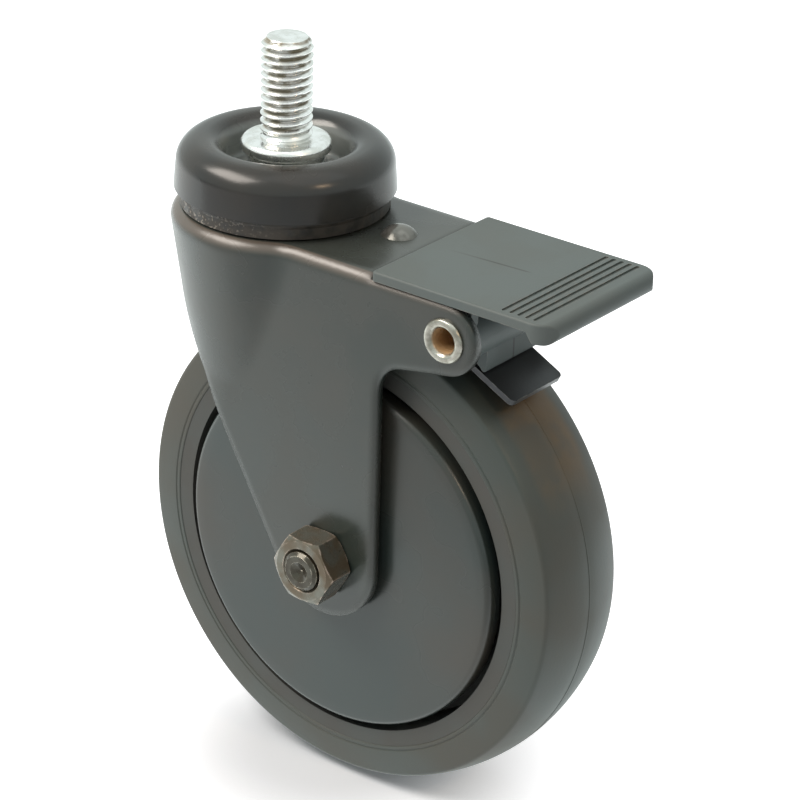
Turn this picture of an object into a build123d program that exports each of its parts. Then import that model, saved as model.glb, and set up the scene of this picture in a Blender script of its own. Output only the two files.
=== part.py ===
"""Swivel castor: threaded stem, pressed fork, rubber-tyred wheel and a foot-operated brake."""
import os
from math import cos, radians, sin, sqrt, tan

from build123d import *

os.makedirs("parts", exist_ok=True)

# All sizes are millimetres. The origin is the middle of the stem flange's top face, which bears
# on the furniture. Z runs up the stem, X points the way the wheel trails, Y runs along the axle.

# Wheel
wheel_radius = 63.5
tyre_width = 30.0
tyre_depth = 11.1  # tread to the joint line of the tyre and the core on the side face
tread_drop = 2.7  # how far the crowned tread falls from its middle to its shoulders
shoulder_inset = 1.0  # from the tyre's side face to the shoulder's edge
shoulder_round = 1.2
rim_wall = 4.1
rim_side_step = 0.2  # the rim stands this far inside the tyre's side face
bond_rib_height = 2.4
bond_rib_width = 10.0
web_thickness = 5.0
hub_radius = 13.5
core_rib_count = 8
core_rib_thickness = 2.6
core_rib_reach = 7.0  # the ribs' edges stand this far from the mid plane

# Thread guards, the domed discs that cover both sides of the core
guard_gap = 3.2  # the open ring between the guard and the core's rim
guard_rim_step = 1.3  # the rim stands this far out past the tyre's side face
guard_dome = 1.1
guard_wall = 1.6
guard_skirt = 4.5
guard_edge_round = 1.2
guard_hole_radius = 11.5
guard_boss_wall = 1.8

# Axle
bolt_radius = 5.0
bolt_tip_chamfer = 0.8
bolt_tip_length = 1.0  # stands out past the nut
bolt_dimple_radius = 2.6
bolt_dimple_depth = 1.5
hex_across_flats = 16.0
nut_thickness = 8.4
nut_countersink = 0.7
bolt_head_thickness = 6.4
hex_face_radius = 7.6  # the corners are bevelled outside this radius
hex_corner_bevel = 30.0
sleeve_wall = 1.5
bush_wall = 2.0
bush_flange_radius = 10.5
bush_length = 13.0

# Fork, pressed from one sheet
trail = 31.5  # swivel axis to wheel axis
sheet = 2.5
tread_clearance = 12.25  # underside of the crown to the top of the tread
fork_gap = 39.6  # between the inner faces of the legs
crown_drop = 17.0  # mounting face to the top of the crown
bend_radius = 3.0  # outside radius of the fold round the crown
head_radius = 28.3  # round front of the crown, measured at its top
head_draft = 8.5
head_blend = 10.0  # hollow round between the head and the flat sides
leg_end_radius = 15.0
leg_front_angle = 60.0  # front edge of the legs, above the horizontal
crown_length = 43.5  # swivel axis to the rear edge of the crown plate
window_radius = 8.0
arm_slope = 10.4
arm_end_radius = 8.8
edge_round = 0.5

# Brake pivot, leaf and pedal
pivot_below_crown = 10.1
pivot_above_tread = 12.75  # measured away from the wheel axis
eyelet_radius = 5.5
eyelet_thickness = 1.1
eyelet_bore_radius = 2.8
eyelet_tube_radius = 3.6
leaf_width = 20.0
leaf_thickness = 1.5
leaf_front = 28.0
leaf_flat_reach = 3.0  # how far the flat part reaches past the crown plate
leaf_knee_ahead = 7.7  # the knee is in front of the pivot axis
leaf_tail_behind = 11.5  # the tail ends behind the pivot axis
leaf_pivot_distance = 9.5  # pivot axis to the upper face of the leaf's tail
leaf_tail_slope = 26.7
leaf_bend_radius = 4.0
leaf_corner_round = 1.5
rivet_position = (33.4, 2.2)
rivet_head_radius = 4.5
rivet_head_height = 2.3
rivet_shank_radius = 2.4
rivet_tail_radius = 4.0
rivet_tail_height = 1.8
rivet_slack = 0.7  # lets the leaf rock on its rivet

pedal_front_gap = 0.9
pedal_length = 50.6
pedal_width = 45.2
pedal_above_crown = 1.4
pedal_skin = 1.6
pedal_rim_wall = 2.0
pedal_nose_round = 2.6
pedal_nose_wall = 2.0
pedal_corner_round = 6.0
pedal_corner_overrun = 0.3  # the corner rounds end this far past the tip and leave a fine edge there
pedal_front_corner_round = 1.0
pedal_edge_round = 0.6
pedal_hub_radius = 6.8
pedal_web_thickness = 2.6
pedal_web_half_length = 5.5
tread_groove_count = 5
tread_groove_pitch = 2.2
tread_groove_from_tip = 5.5  # last groove to the pedal's tip
tread_groove_width = 1.1
tread_groove_depth = 0.4
tread_groove_inset = 1.8  # from the ends of the grooves to the pedal's sides
cam_width = 19.5
cam_rear = 3.3  # rear face of the cam, behind the pivot axis
cam_front = 7.5
cam_nose_round = 0.8

# Swivel head
stem_radius = 6.35
stem_length = 25.4
stem_chamfer = 1.4
flange_radius = 11.1
flange_thickness = 3.2
flange_chamfer = 0.9
shoulder_radius = 9.5
kingpin_radius = 6.5
kingpin_head_radius = 10.0
kingpin_head_height = 3.2
cap_radius = 27.4
cap_top_drop = 0.2  # the cap stays just below the face that bears on the furniture
cap_skirt_drop = 12.2
cap_hole_radius = 16.4
cap_wall = 1.4
cap_outer_round = 6.4
cap_hole_round = 2.0
cap_taper = 0.4
race_thickness = 2.0
race_rim_radius = 25.6
race_rim_gap = 0.5  # between the turned-down rim and the crown
race_bend_radius = 1.8
lower_race_radius = 17.0
upper_ball_radius = 3.0
upper_ball_circle = 19.0
upper_ball_count = 14
lower_ball_radius = 2.4
lower_ball_circle = 12.2
lower_ball_count = 12
groove_depth = 0.8
crown_hole_clearance = 1.6

# Clearances
seat_clearance = 0.02  # pieces that are pressed or clamped together
running_clearance = 0.06  # shafts that turn in their holes
body_gap = 0.3  # neighbours that move past each other
ball_play = 0.05

# Places that follow from the sizes
rim_radius = wheel_radius - tyre_depth
rim_inner_radius = rim_radius - rim_wall
guard_radius = rim_inner_radius - guard_gap
axle_drop = crown_drop + sheet + tread_clearance + wheel_radius  # mounting face to wheel axis
axle_z = -axle_drop
crown_top = -crown_drop
crown_bottom = crown_top - sheet
leg_inner = fork_gap / 2
leg_outer = leg_inner + sheet
axle_centre = (trail, 0, axle_z)
axle_axis = Axis(axle_centre, (0, 1, 0))
axle_section = Plane(origin=axle_centre)  # local x is the wheel's radius, local y its width
pivot_z = crown_top - pivot_below_crown
pivot_behind = trail + sqrt((wheel_radius + pivot_above_tread) ** 2 - (pivot_z - axle_z) ** 2)
pivot_centre = (pivot_behind, 0, pivot_z)
pivot_axis = Axis(pivot_centre, (0, 1, 0))
pivot_section = Plane(origin=pivot_centre)
side_view = Plane.XZ  # local x is X, local y is Z, and it faces the near side, minus Y

upper_ball_z = crown_top - groove_depth + ball_play + upper_ball_radius
upper_race_bottom = upper_ball_z + upper_ball_radius + ball_play - groove_depth
upper_race_top = upper_race_bottom + race_thickness
cap_floor_top = upper_race_top + cap_wall
lower_ball_z = crown_bottom + groove_depth - ball_play - lower_ball_radius
lower_race_top = lower_ball_z - lower_ball_radius - ball_play + groove_depth
lower_race_bottom = lower_race_top - race_thickness
sleeve_radius = bolt_radius + seat_clearance + sleeve_wall
bush_bore = sleeve_radius + running_clearance
bush_radius = bush_bore + bush_wall


def save(piece, name):
    """Label a finished piece and write its STEP file."""
    piece.part.label = name
    export_step(piece.part, "parts/" + name + ".step")


# Threaded stem, turned in one piece with its flange and the kingpin below it. The kingpin's
# foot is peened over the lower race.
with BuildPart() as threaded_stem:
    with BuildSketch(Plane.XZ):
        with BuildLine():
            Polyline(
                (0, stem_length),
                (stem_radius - stem_chamfer, stem_length),
                (stem_radius, stem_length - stem_chamfer),
                (stem_radius, 0),
                (flange_radius - flange_chamfer, 0),
                (flange_radius, -flange_chamfer),
                (flange_radius, -flange_thickness),
                (shoulder_radius, -flange_thickness),
                (shoulder_radius, cap_floor_top),
                (kingpin_radius, cap_floor_top),
                (kingpin_radius, lower_race_bottom),
                (kingpin_head_radius, lower_race_bottom),
            )
            TangentArc(
                (0, lower_race_bottom - kingpin_head_height),
                (kingpin_head_radius, lower_race_bottom),
                tangent=(1, 0),
            )
            Line((0, lower_race_bottom - kingpin_head_height), (0, stem_length))
        make_face()
    revolve(axis=Axis.Z)
save(threaded_stem, "threaded_stem")

# Dust cap, one deep ring whose floor is clamped between the kingpin's shoulder and the upper race.
cap_middle_radius = cap_radius - cap_wall / 2
with BuildPart() as dust_cap:
    with BuildSketch(Plane.XZ):
        with BuildLine():
            FilletPolyline(
                (kingpin_radius + seat_clearance, cap_floor_top - cap_wall / 2),
                (cap_hole_radius + cap_wall / 2, cap_floor_top - cap_wall / 2),
                (cap_hole_radius + cap_wall / 2, -cap_top_drop - cap_wall / 2),
                (cap_middle_radius, -cap_top_drop - cap_wall / 2),
                (cap_middle_radius - cap_taper, -cap_skirt_drop),
                radius=[cap_hole_round, cap_hole_round, cap_outer_round],
            )
        trace(line_width=cap_wall)
    revolve(axis=Axis.Z)
save(dust_cap, "dust_cap")

# Upper ball race, a pressed cup that turns down round the bearing inside the dust cap.
with BuildPart() as upper_race:
    with BuildSketch(Plane.XZ):
        with BuildLine():
            FilletPolyline(
                (kingpin_radius + seat_clearance, upper_race_top - race_thickness / 2),
                (race_rim_radius - race_thickness / 2, upper_race_top - race_thickness / 2),
                (race_rim_radius - race_thickness / 2, crown_top + race_rim_gap),
                radius=race_bend_radius,
            )
        trace(line_width=race_thickness)
        with Locations((upper_ball_circle, upper_ball_z)):
            Circle(upper_ball_radius + ball_play, mode=Mode.SUBTRACT)
    revolve(axis=Axis.Z)
save(upper_race, "upper_race")

# Lower ball race, a ring between the crown and the kingpin's head.
with BuildPart() as lower_race:
    with BuildSketch(Plane.XZ):
        with BuildLine():
            Polyline(
                (kingpin_radius + seat_clearance, lower_race_top),
                (lower_race_radius, lower_race_top),
                (lower_race_radius, lower_race_bottom),
                (kingpin_radius + seat_clearance, lower_race_bottom),
                close=True,
            )
        make_face()
        with Locations((lower_ball_circle, lower_ball_z)):
            Circle(lower_ball_radius + ball_play, mode=Mode.SUBTRACT)
    revolve(axis=Axis.Z)
    fillet(lower_race.faces().sort_by(Axis.Z)[0].outer_wire().edges(), edge_round)
save(lower_race, "lower_race")


def ball_ring(radius, circle, count, height):
    """One ring of loose balls that run round the swivel axis."""
    with BuildPart() as balls:
        with PolarLocations(circle, count):
            with Locations((0, 0, height)):
                Sphere(radius)
    return balls


upper_balls = ball_ring(upper_ball_radius, upper_ball_circle, upper_ball_count, upper_ball_z)
save(upper_balls, "upper_balls")
lower_balls = ball_ring(lower_ball_radius, lower_ball_circle, lower_ball_count, lower_ball_z)
save(lower_balls, "lower_balls")

# Fork. Seen from the side, the front edge of the legs is a straight line that touches the
# round foot, and each arm ends in a round about the brake pivot.
leg_rear = trail + leg_end_radius
leg_bottom = axle_z - leg_end_radius
arm_top = pivot_z + arm_end_radius
front_touch = (
    trail - leg_end_radius * sin(radians(leg_front_angle)),
    axle_z - leg_end_radius * cos(radians(leg_front_angle)),
)
front_run = (crown_top - front_touch[1]) / sin(radians(leg_front_angle))
front_top = front_touch[0] - front_run * cos(radians(leg_front_angle))
arm_touch = (
    pivot_behind + arm_end_radius * sin(radians(arm_slope)),
    pivot_z - arm_end_radius * cos(radians(arm_slope)),
)
window_corner_z = arm_touch[1] - (arm_touch[0] - leg_rear) * tan(radians(arm_slope))
narrow_z = crown_top - (head_radius - leg_outer) / tan(radians(head_draft))

with BuildSketch(side_view) as fork_side:
    with BuildLine():
        Polyline((front_top, crown_top), (crown_length, crown_top), (crown_length, arm_top), (pivot_behind, arm_top))
        ThreePointArc(
            (pivot_behind, arm_top),
            (pivot_behind + arm_end_radius, pivot_z),
            arm_touch,
        )
        FilletPolyline(arm_touch, (leg_rear, window_corner_z), (leg_rear, axle_z), radius=window_radius)
        ThreePointArc((leg_rear, axle_z), (trail, leg_bottom), front_touch)
        Line(front_touch, (front_top, crown_top))
    make_face()


def fork_form(inset, length):
    """The closed form of the fork, pulled in by inset: a round head that narrows to the legs' width,
    and a straight part behind it."""
    top = crown_top - inset
    half_width = leg_outer - inset
    with BuildPart() as form:
        with BuildSketch(Plane.XZ):
            with BuildLine():
                Polyline(
                    (0, top),
                    (head_radius - inset - inset * tan(radians(head_draft)), top),
                    (half_width, narrow_z),
                    (half_width, leg_bottom - inset),
                    (0, leg_bottom - inset),
                    close=True,
                )
            make_face()
        revolve(axis=Axis.Z)
        with BuildSketch(Plane.XY.offset(top)):
            Rectangle(length, 2 * half_width, align=(Align.MIN, Align.CENTER))
        extrude(amount=leg_bottom - inset - top)
        fillet(form.edges().filter_by(GeomType.HYPERBOLA), head_blend + inset)
        rim = form.faces().sort_by(Axis.Z)[-1].outer_wire().edges().sort_by(Axis.X)[:-1]
        fillet(rim, bend_radius - inset)
    return form.part


with BuildPart() as fork:
    add(fork_form(0, crown_length))
    add(fork_form(sheet, crown_length + sheet), mode=Mode.SUBTRACT)
    with BuildSketch(side_view):
        add(fork_side.sketch)
    extrude(amount=head_radius, both=True, mode=Mode.INTERSECT)
    with BuildSketch(side_view.offset(leg_inner), side_view.offset(-leg_outer)):
        add(fork_side.sketch)
        with Locations((crown_length, leg_bottom)):
            Rectangle(
                pivot_behind, 2 * axle_drop, align=(Align.MIN, Align.MIN), mode=Mode.INTERSECT
            )
    extrude(amount=sheet)
    rear_edges = fork.edges().filter_by(Axis.Z).group_by(SortBy.LENGTH)[-1].sort_by(Axis.Y)
    fillet([rear_edges[0], rear_edges[-1]], edge_round)
    with BuildSketch(side_view):
        with Locations((trail, axle_z)):
            Circle(bolt_radius + seat_clearance)
        with Locations((pivot_behind, pivot_z)):
            Circle(eyelet_tube_radius + seat_clearance)
    extrude(amount=head_radius, both=True, mode=Mode.SUBTRACT)
    with BuildSketch(Plane.XY.offset(crown_top)):
        Circle(kingpin_radius + crown_hole_clearance)
        with Locations(rivet_position):
            Circle(rivet_shank_radius + seat_clearance)
    extrude(amount=-sheet, mode=Mode.SUBTRACT)
    for circle, height, radius in (
        (upper_ball_circle, upper_ball_z, upper_ball_radius),
        (lower_ball_circle, lower_ball_z, lower_ball_radius),
    ):
        with Locations((0, 0, height)):
            Torus(circle, radius + ball_play, mode=Mode.SUBTRACT)
save(fork, "fork")

# Rivet with a domed head on the crown. Its tail holds the brake leaf, with slack to let it rock.
leaf_top = crown_bottom - body_gap
leaf_bottom = leaf_top - leaf_thickness
leaf_knee = pivot_behind - leaf_knee_ahead
leaf_tail_end = pivot_behind + leaf_tail_behind
rivet_tail_top = leaf_bottom - rivet_slack
rivet_section = Plane(origin=(*rivet_position, 0), x_dir=(1, 0, 0), z_dir=(0, -1, 0))
with BuildPart() as crown_rivet:
    with BuildSketch(rivet_section):
        with BuildLine():
            Line((0, crown_top + rivet_head_height), (0, rivet_tail_top - rivet_tail_height))
            Polyline(
                (0, rivet_tail_top - rivet_tail_height),
                (rivet_tail_radius, rivet_tail_top - rivet_tail_height),
                (rivet_tail_radius, rivet_tail_top),
                (rivet_shank_radius, rivet_tail_top),
                (rivet_shank_radius, crown_top),
                (rivet_head_radius, crown_top),
            )
            TangentArc(
                (0, crown_top + rivet_head_height),
                (rivet_head_radius, crown_top),
                tangent=(1, 0),
            )
        make_face()
    revolve(axis=Axis((*rivet_position, 0), (0, 0, 1)))
    fillet(crown_rivet.faces().sort_by(Axis.Z)[0].outer_wire().edges(), edge_round)
save(crown_rivet, "crown_rivet")

# Hollow rivet that joins the two arms and carries the pedal, rolled over at both ends.
eyelet_face = leg_outer + eyelet_thickness
with BuildPart() as pivot_tube:
    with BuildSketch(pivot_section) as tube_section:
        with BuildLine():
            Polyline(
                (eyelet_bore_radius, 0),
                (eyelet_tube_radius, 0),
                (eyelet_tube_radius, leg_outer),
                (eyelet_radius, leg_outer),
                (eyelet_radius, eyelet_face),
                (eyelet_bore_radius, eyelet_face),
                close=True,
            )
        make_face()
        rolled = tube_section.vertices().group_by(Axis.Y)[-1]
        fillet(rolled, (eyelet_thickness - seat_clearance) / 2)
        mirror(about=Plane.XZ)
    revolve(axis=pivot_axis)
save(pivot_tube, "pivot_tube")

# Brake leaf, a spring steel strip that hangs from the crown and ends above the tread.
tail_normal = (sin(radians(leaf_tail_slope)), cos(radians(leaf_tail_slope)))


def tail_height(x):
    """Height of the upper face of the leaf's tail at a distance behind the swivel axis."""
    across = (x - pivot_behind) * tail_normal[0]
    return pivot_z - (leaf_pivot_distance + across) / tail_normal[1]


with BuildPart() as brake_leaf:
    with BuildSketch(side_view):
        with BuildLine() as leaf_upper:
            FilletPolyline(
                (leaf_front, leaf_top),
                (crown_length + leaf_flat_reach, leaf_top),
                (leaf_knee, tail_height(leaf_knee)),
                (leaf_tail_end, tail_height(leaf_tail_end)),
                radius=leaf_bend_radius,
            )
            offset(amount=leaf_thickness, side=Side.RIGHT)
        make_face()
    extrude(amount=leaf_width / 2, both=True)
    tail_corners = brake_leaf.faces().sort_by(Axis.X)[-1].edges().sort_by(Axis.Y)
    fillet([tail_corners[0], tail_corners[-1]], leaf_corner_round)
    with BuildSketch(Plane.XY.offset(leaf_top)):
        with Locations(rivet_position):
            Circle(rivet_shank_radius + body_gap)
    extrude(amount=-leaf_thickness, mode=Mode.SUBTRACT)
save(brake_leaf, "brake_leaf")

# Brake pedal, moulded with its hub and cam in one piece. The tread plate's nose curves down.
pedal_front = crown_length + pedal_front_gap
pedal_tip = pedal_front + pedal_length
pedal_top = crown_top + pedal_above_crown
pedal_rim_bottom = arm_top + body_gap
pedal_nose_bottom = pedal_top - 2 * pedal_nose_round
skin_bottom = pedal_top - pedal_skin
nose_rear = pedal_tip - pedal_nose_round - pedal_nose_wall
hub_half_length = leg_inner - body_gap
cam_nose_x = cam_rear - cam_nose_round
cam_reach = leaf_pivot_distance - body_gap - cam_nose_round
cam_nose_z = -(cam_reach + cam_nose_x * tail_normal[0]) / tail_normal[1]

with BuildPart() as brake_pedal:
    with BuildSketch(side_view) as pedal_side:
        with BuildLine():
            Polyline(
                (pedal_tip - pedal_nose_round, pedal_nose_bottom),
                (nose_rear, pedal_nose_bottom),
                (nose_rear - pedal_nose_wall, pedal_rim_bottom),
                (pedal_front, pedal_rim_bottom),
                (pedal_front, pedal_top),
                (pedal_tip - pedal_nose_round, pedal_top),
            )
            ThreePointArc(
                (pedal_tip - pedal_nose_round, pedal_top),
                (pedal_tip, pedal_top - pedal_nose_round),
                (pedal_tip - pedal_nose_round, pedal_nose_bottom),
            )
        make_face()
    extrude(amount=pedal_width / 2, both=True)
    with BuildSketch(Plane.XY.offset(pedal_top)) as pedal_plan:
        with Locations((pedal_front, 0)):
            Rectangle(
                pedal_length + pedal_corner_overrun, pedal_width, align=(Align.MIN, Align.CENTER)
            )
        fillet(pedal_plan.vertices().group_by(Axis.X)[-1], pedal_corner_round)
        fillet(pedal_plan.vertices().group_by(Axis.X)[0], pedal_front_corner_round)
    extrude(amount=pedal_nose_bottom - pedal_top, mode=Mode.INTERSECT)
    top_rim = brake_pedal.faces().sort_by(Axis.Z)[-1].outer_wire().edges().sort_by(Axis.X)[:-1]
    fillet(top_rim, pedal_edge_round)
    with BuildSketch(Plane.XY.offset(skin_bottom)):
        offset(pedal_plan.sketch, amount=-pedal_rim_wall)
        with Locations((nose_rear, 0)):
            Rectangle(pedal_length, pedal_width, align=(Align.MIN, Align.CENTER), mode=Mode.SUBTRACT)
    extrude(amount=pedal_nose_bottom - pedal_top, mode=Mode.SUBTRACT)
    with BuildSketch(Plane.XY.offset(pedal_top)):
        last_groove = pedal_tip - tread_groove_from_tip
        with Locations(*(
            (last_groove - step * tread_groove_pitch, 0) for step in range(tread_groove_count)
        )):
            SlotOverall(
                pedal_width - 2 * tread_groove_inset, tread_groove_width, rotation=90
            )
    extrude(amount=-tread_groove_depth, mode=Mode.SUBTRACT)
    with BuildSketch(side_view):
        with Locations((pivot_behind, pivot_z)):
            Circle(pedal_hub_radius)
    extrude(amount=hub_half_length, both=True)
    with BuildSketch(side_view.offset(hub_half_length - pedal_web_thickness),
                     side_view.offset(-hub_half_length)):
        with Locations((pivot_behind, pivot_z)):
            Rectangle(
                2 * pedal_web_half_length, skin_bottom - pivot_z, align=(Align.CENTER, Align.MIN)
            )
    extrude(amount=pedal_web_thickness)
    with BuildSketch(side_view) as cam_side:
        with BuildLine():
            Polyline(
                (pivot_behind - cam_front, skin_bottom),
                (pivot_behind - cam_front, pivot_z - pedal_hub_radius / 2),
                (pivot_behind - pedal_hub_radius / 2, pivot_z - pedal_hub_radius),
                (pivot_behind + cam_nose_x, pivot_z + cam_nose_z - cam_nose_round),
                (pivot_behind + cam_rear, pivot_z + cam_nose_z),
                (pivot_behind + cam_rear, skin_bottom),
                close=True,
            )
        make_face()
    extrude(amount=cam_width / 2, both=True)
    with BuildSketch(side_view):
        with Locations((pivot_behind + cam_nose_x, pivot_z + cam_nose_z)):
            Circle(cam_nose_round)
    extrude(amount=cam_width / 2, both=True)
    with BuildSketch(side_view):
        with Locations((pivot_behind, pivot_z)):
            Circle(eyelet_tube_radius + running_clearance)
    extrude(amount=leg_outer, both=True, mode=Mode.SUBTRACT)
save(brake_pedal, "brake_pedal")

# Axle bolt, put in from the far side, and its nut. Seen from the side, two corners of each
# hexagon point along X.
hex_flat = hex_across_flats / 2
corner_radius = hex_flat / cos(radians(30))
bevel_height = (corner_radius - hex_face_radius) * tan(radians(hex_corner_bevel))
nut_face = -(leg_outer + nut_thickness)
head_face = leg_outer + bolt_head_thickness
tip_face = nut_face - bolt_tip_length


def hexagon(near_face, near_bevel, far_face):
    """A hexagon across the axle, bevelled at its far face and as asked at its near face."""
    with BuildPart() as form:
        with BuildSketch(Plane.XZ.offset(-far_face)):
            with Locations((trail, axle_z)):
                RegularPolygon(corner_radius, 6)
        extrude(amount=far_face - near_face)
        with BuildSketch(axle_section):
            with BuildLine():
                Polyline(
                    (0, near_face),
                    (hex_face_radius, near_face),
                    (corner_radius, near_face + near_bevel),
                    (corner_radius, far_face - bevel_height),
                    (hex_face_radius, far_face),
                    (0, far_face),
                    close=True,
                )
            make_face()
        revolve(axis=axle_axis, mode=Mode.INTERSECT)
    return form.part


with BuildPart() as axle_bolt:
    add(hexagon(leg_outer, 0, head_face))
    with BuildSketch(axle_section):
        with BuildLine():
            Polyline(
                (0, tip_face + bolt_dimple_depth),
                (bolt_dimple_radius, tip_face),
                (bolt_radius - bolt_tip_chamfer, tip_face),
                (bolt_radius, tip_face + bolt_tip_chamfer),
                (bolt_radius, leg_outer),
                (0, leg_outer),
                close=True,
            )
        make_face()
    revolve(axis=axle_axis)
save(axle_bolt, "axle_bolt")

with BuildPart() as axle_nut:
    add(hexagon(nut_face, bevel_height, -leg_outer))
    with BuildSketch(Plane.XZ.offset(leg_outer)):
        with Locations((trail, axle_z)):
            Circle(bolt_radius + seat_clearance)
    extrude(amount=nut_thickness, mode=Mode.SUBTRACT)
    bore_mouths = axle_nut.edges().filter_by(GeomType.CIRCLE).group_by(SortBy.RADIUS)[0]
    chamfer(bore_mouths, nut_countersink)
save(axle_nut, "axle_nut")

# Sleeve that keeps the legs apart when the bolt is tightened. The bushes turn on it.
with BuildPart() as axle_sleeve:
    with BuildSketch(Plane.XZ.offset(-leg_inner)):
        with Locations((trail, axle_z)):
            Circle(sleeve_radius)
            Circle(bolt_radius + seat_clearance, mode=Mode.SUBTRACT)
    extrude(amount=fork_gap)
save(axle_sleeve, "axle_sleeve")

# Flanged bushes, one pressed into each end of the hub.
guard_rim_face = tyre_width / 2 + guard_rim_step
guard_top = guard_rim_face + guard_dome
hub_end = guard_top - guard_wall - seat_clearance
bush_flange_face = leg_inner - body_gap
with BuildPart() as far_bush:
    with BuildSketch(axle_section):
        with BuildLine():
            Polyline(
                (bush_bore, hub_end - bush_length),
                (bush_radius, hub_end - bush_length),
                (bush_radius, hub_end),
                (bush_flange_radius, hub_end),
                (bush_flange_radius, bush_flange_face),
                (bush_bore, bush_flange_face),
                close=True,
            )
        make_face()
    revolve(axis=axle_axis)
    fillet(far_bush.faces().sort_by(Axis.Y)[-1].outer_wire().edges(), edge_round)
save(far_bush, "far_bush")

with BuildPart() as near_bush:
    add(mirror(far_bush.part, about=Plane.XZ))
save(near_bush, "near_bush")

# Wheel core: hub, web and rim in one moulding, with radial ribs on both sides of the web.
rim_face = tyre_width / 2 - rim_side_step
core_rib_length = guard_radius - guard_wall - hub_radius
web_half = web_thickness / 2
bond_half = bond_rib_width / 2
with BuildPart() as wheel_core:
    with BuildSketch(axle_section):
        with BuildLine():
            Polyline(
                (bush_radius + seat_clearance, 0),
                (bush_radius + seat_clearance, hub_end),
                (hub_radius, hub_end),
                (hub_radius, web_half),
                (rim_inner_radius, web_half),
                (rim_inner_radius, rim_face),
                (rim_radius, rim_face),
                (rim_radius, bond_half),
                (rim_radius + bond_rib_height, bond_half),
                (rim_radius + bond_rib_height, 0),
                close=True,
            )
        make_face()
        mirror(about=Plane.XZ)
    revolve(axis=axle_axis)
    with BuildSketch(Plane.XZ.offset(-core_rib_reach)):
        with Locations((trail, axle_z)):
            with PolarLocations(hub_radius - edge_round, core_rib_count):
                Rectangle(core_rib_length, core_rib_thickness, align=(Align.MIN, Align.CENTER))
    extrude(amount=2 * core_rib_reach)
save(wheel_core, "wheel_core")

# Tyre, moulded onto the rim. Its tread is one shallow arc between two rounded shoulders.
shoulder_radius_at = wheel_radius - tread_drop
shoulder_half_width = tyre_width / 2 - shoulder_inset
with BuildPart() as tyre:
    with BuildSketch(axle_section) as tyre_section:
        with BuildLine():
            Polyline(
                (rim_radius + bond_rib_height, -bond_half),
                (rim_radius + bond_rib_height, bond_half),
                (rim_radius, bond_half),
                (rim_radius, tyre_width / 2),
            )
            Line((rim_radius, tyre_width / 2), (shoulder_radius_at, shoulder_half_width))
            ThreePointArc(
                (shoulder_radius_at, shoulder_half_width),
                (wheel_radius, 0),
                (shoulder_radius_at, -shoulder_half_width),
            )
            Line((shoulder_radius_at, -shoulder_half_width), (rim_radius, -tyre_width / 2))
            Polyline(
                (rim_radius, -tyre_width / 2),
                (rim_radius, -bond_half),
                (rim_radius + bond_rib_height, -bond_half),
            )
        make_face()
        shoulders = tyre_section.vertices().sort_by(Axis.X)[-2:]
        fillet(shoulders, shoulder_round)
    revolve(axis=axle_axis)
save(tyre, "tyre")

# Thread guard of the far side: a shallow dome with a skirt round it and a boss that fits the hub
# and stands on the core's ribs.
guard_boss_radius = hub_radius + seat_clearance
guard_boss_end = core_rib_reach + seat_clearance
with BuildPart() as far_thread_guard:
    with BuildSketch(axle_section) as guard_section:
        with BuildLine():
            Line((guard_hole_radius, guard_top), (guard_hole_radius, guard_top - guard_wall))
            Polyline(
                (guard_hole_radius, guard_top - guard_wall),
                (guard_boss_radius, guard_top - guard_wall),
                (guard_boss_radius, guard_boss_end),
                (guard_boss_radius + guard_boss_wall, guard_boss_end),
                (guard_boss_radius + guard_boss_wall, guard_top - guard_wall),
                (guard_radius - guard_wall, guard_rim_face - guard_wall),
                (guard_radius - guard_wall, guard_rim_face - guard_skirt),
                (guard_radius, guard_rim_face - guard_skirt),
                (guard_radius, guard_rim_face),
            )
            TangentArc(
                (guard_hole_radius, guard_top), (guard_radius, guard_rim_face), tangent=(1, 0)
            )
        make_face()
        rim_corner = guard_section.vertices().group_by(Axis.X)[-1].sort_by(Axis.Y)[-1]
        fillet(rim_corner, guard_edge_round)
    revolve(axis=axle_axis)
save(far_thread_guard, "far_thread_guard")

with BuildPart() as near_thread_guard:
    add(mirror(far_thread_guard.part, about=Plane.XZ))
save(near_thread_guard, "near_thread_guard")
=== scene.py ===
# %% [markdown]
# This lesson dresses a swivel castor: a threaded stem, a dust cap over the ball races, a pressed
# steel fork, a rubber-tyred wheel on an M10 axle and a foot-operated brake. The solids come from a
# CAD model, so every new piece has to lie exactly where its solid lies. The first cell loads them.

# %% Load the solids
import math

import bpy
from mathutils import Matrix, Vector


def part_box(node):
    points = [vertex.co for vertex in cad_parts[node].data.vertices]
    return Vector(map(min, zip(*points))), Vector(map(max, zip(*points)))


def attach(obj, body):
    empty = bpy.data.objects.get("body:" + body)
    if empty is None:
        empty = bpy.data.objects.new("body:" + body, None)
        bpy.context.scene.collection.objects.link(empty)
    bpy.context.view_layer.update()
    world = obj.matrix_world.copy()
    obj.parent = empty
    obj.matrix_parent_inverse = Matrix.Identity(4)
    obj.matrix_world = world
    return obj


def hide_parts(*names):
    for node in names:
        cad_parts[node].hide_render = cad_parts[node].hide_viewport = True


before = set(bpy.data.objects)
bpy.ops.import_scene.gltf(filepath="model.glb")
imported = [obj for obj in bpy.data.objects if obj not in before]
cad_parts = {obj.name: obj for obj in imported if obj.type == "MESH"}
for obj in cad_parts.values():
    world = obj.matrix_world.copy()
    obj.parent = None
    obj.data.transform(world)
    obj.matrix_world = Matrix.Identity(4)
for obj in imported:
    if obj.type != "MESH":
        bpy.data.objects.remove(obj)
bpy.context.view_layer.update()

mm = 0.001

# %% [markdown]
# The origin is the middle of the stem flange's top face. Z runs up the stem, X points to the brake
# pedal and Y runs along the axle. Places that more than one piece needs are read from the solids'
# own boxes, so that they follow the CAD model when it changes.

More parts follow.
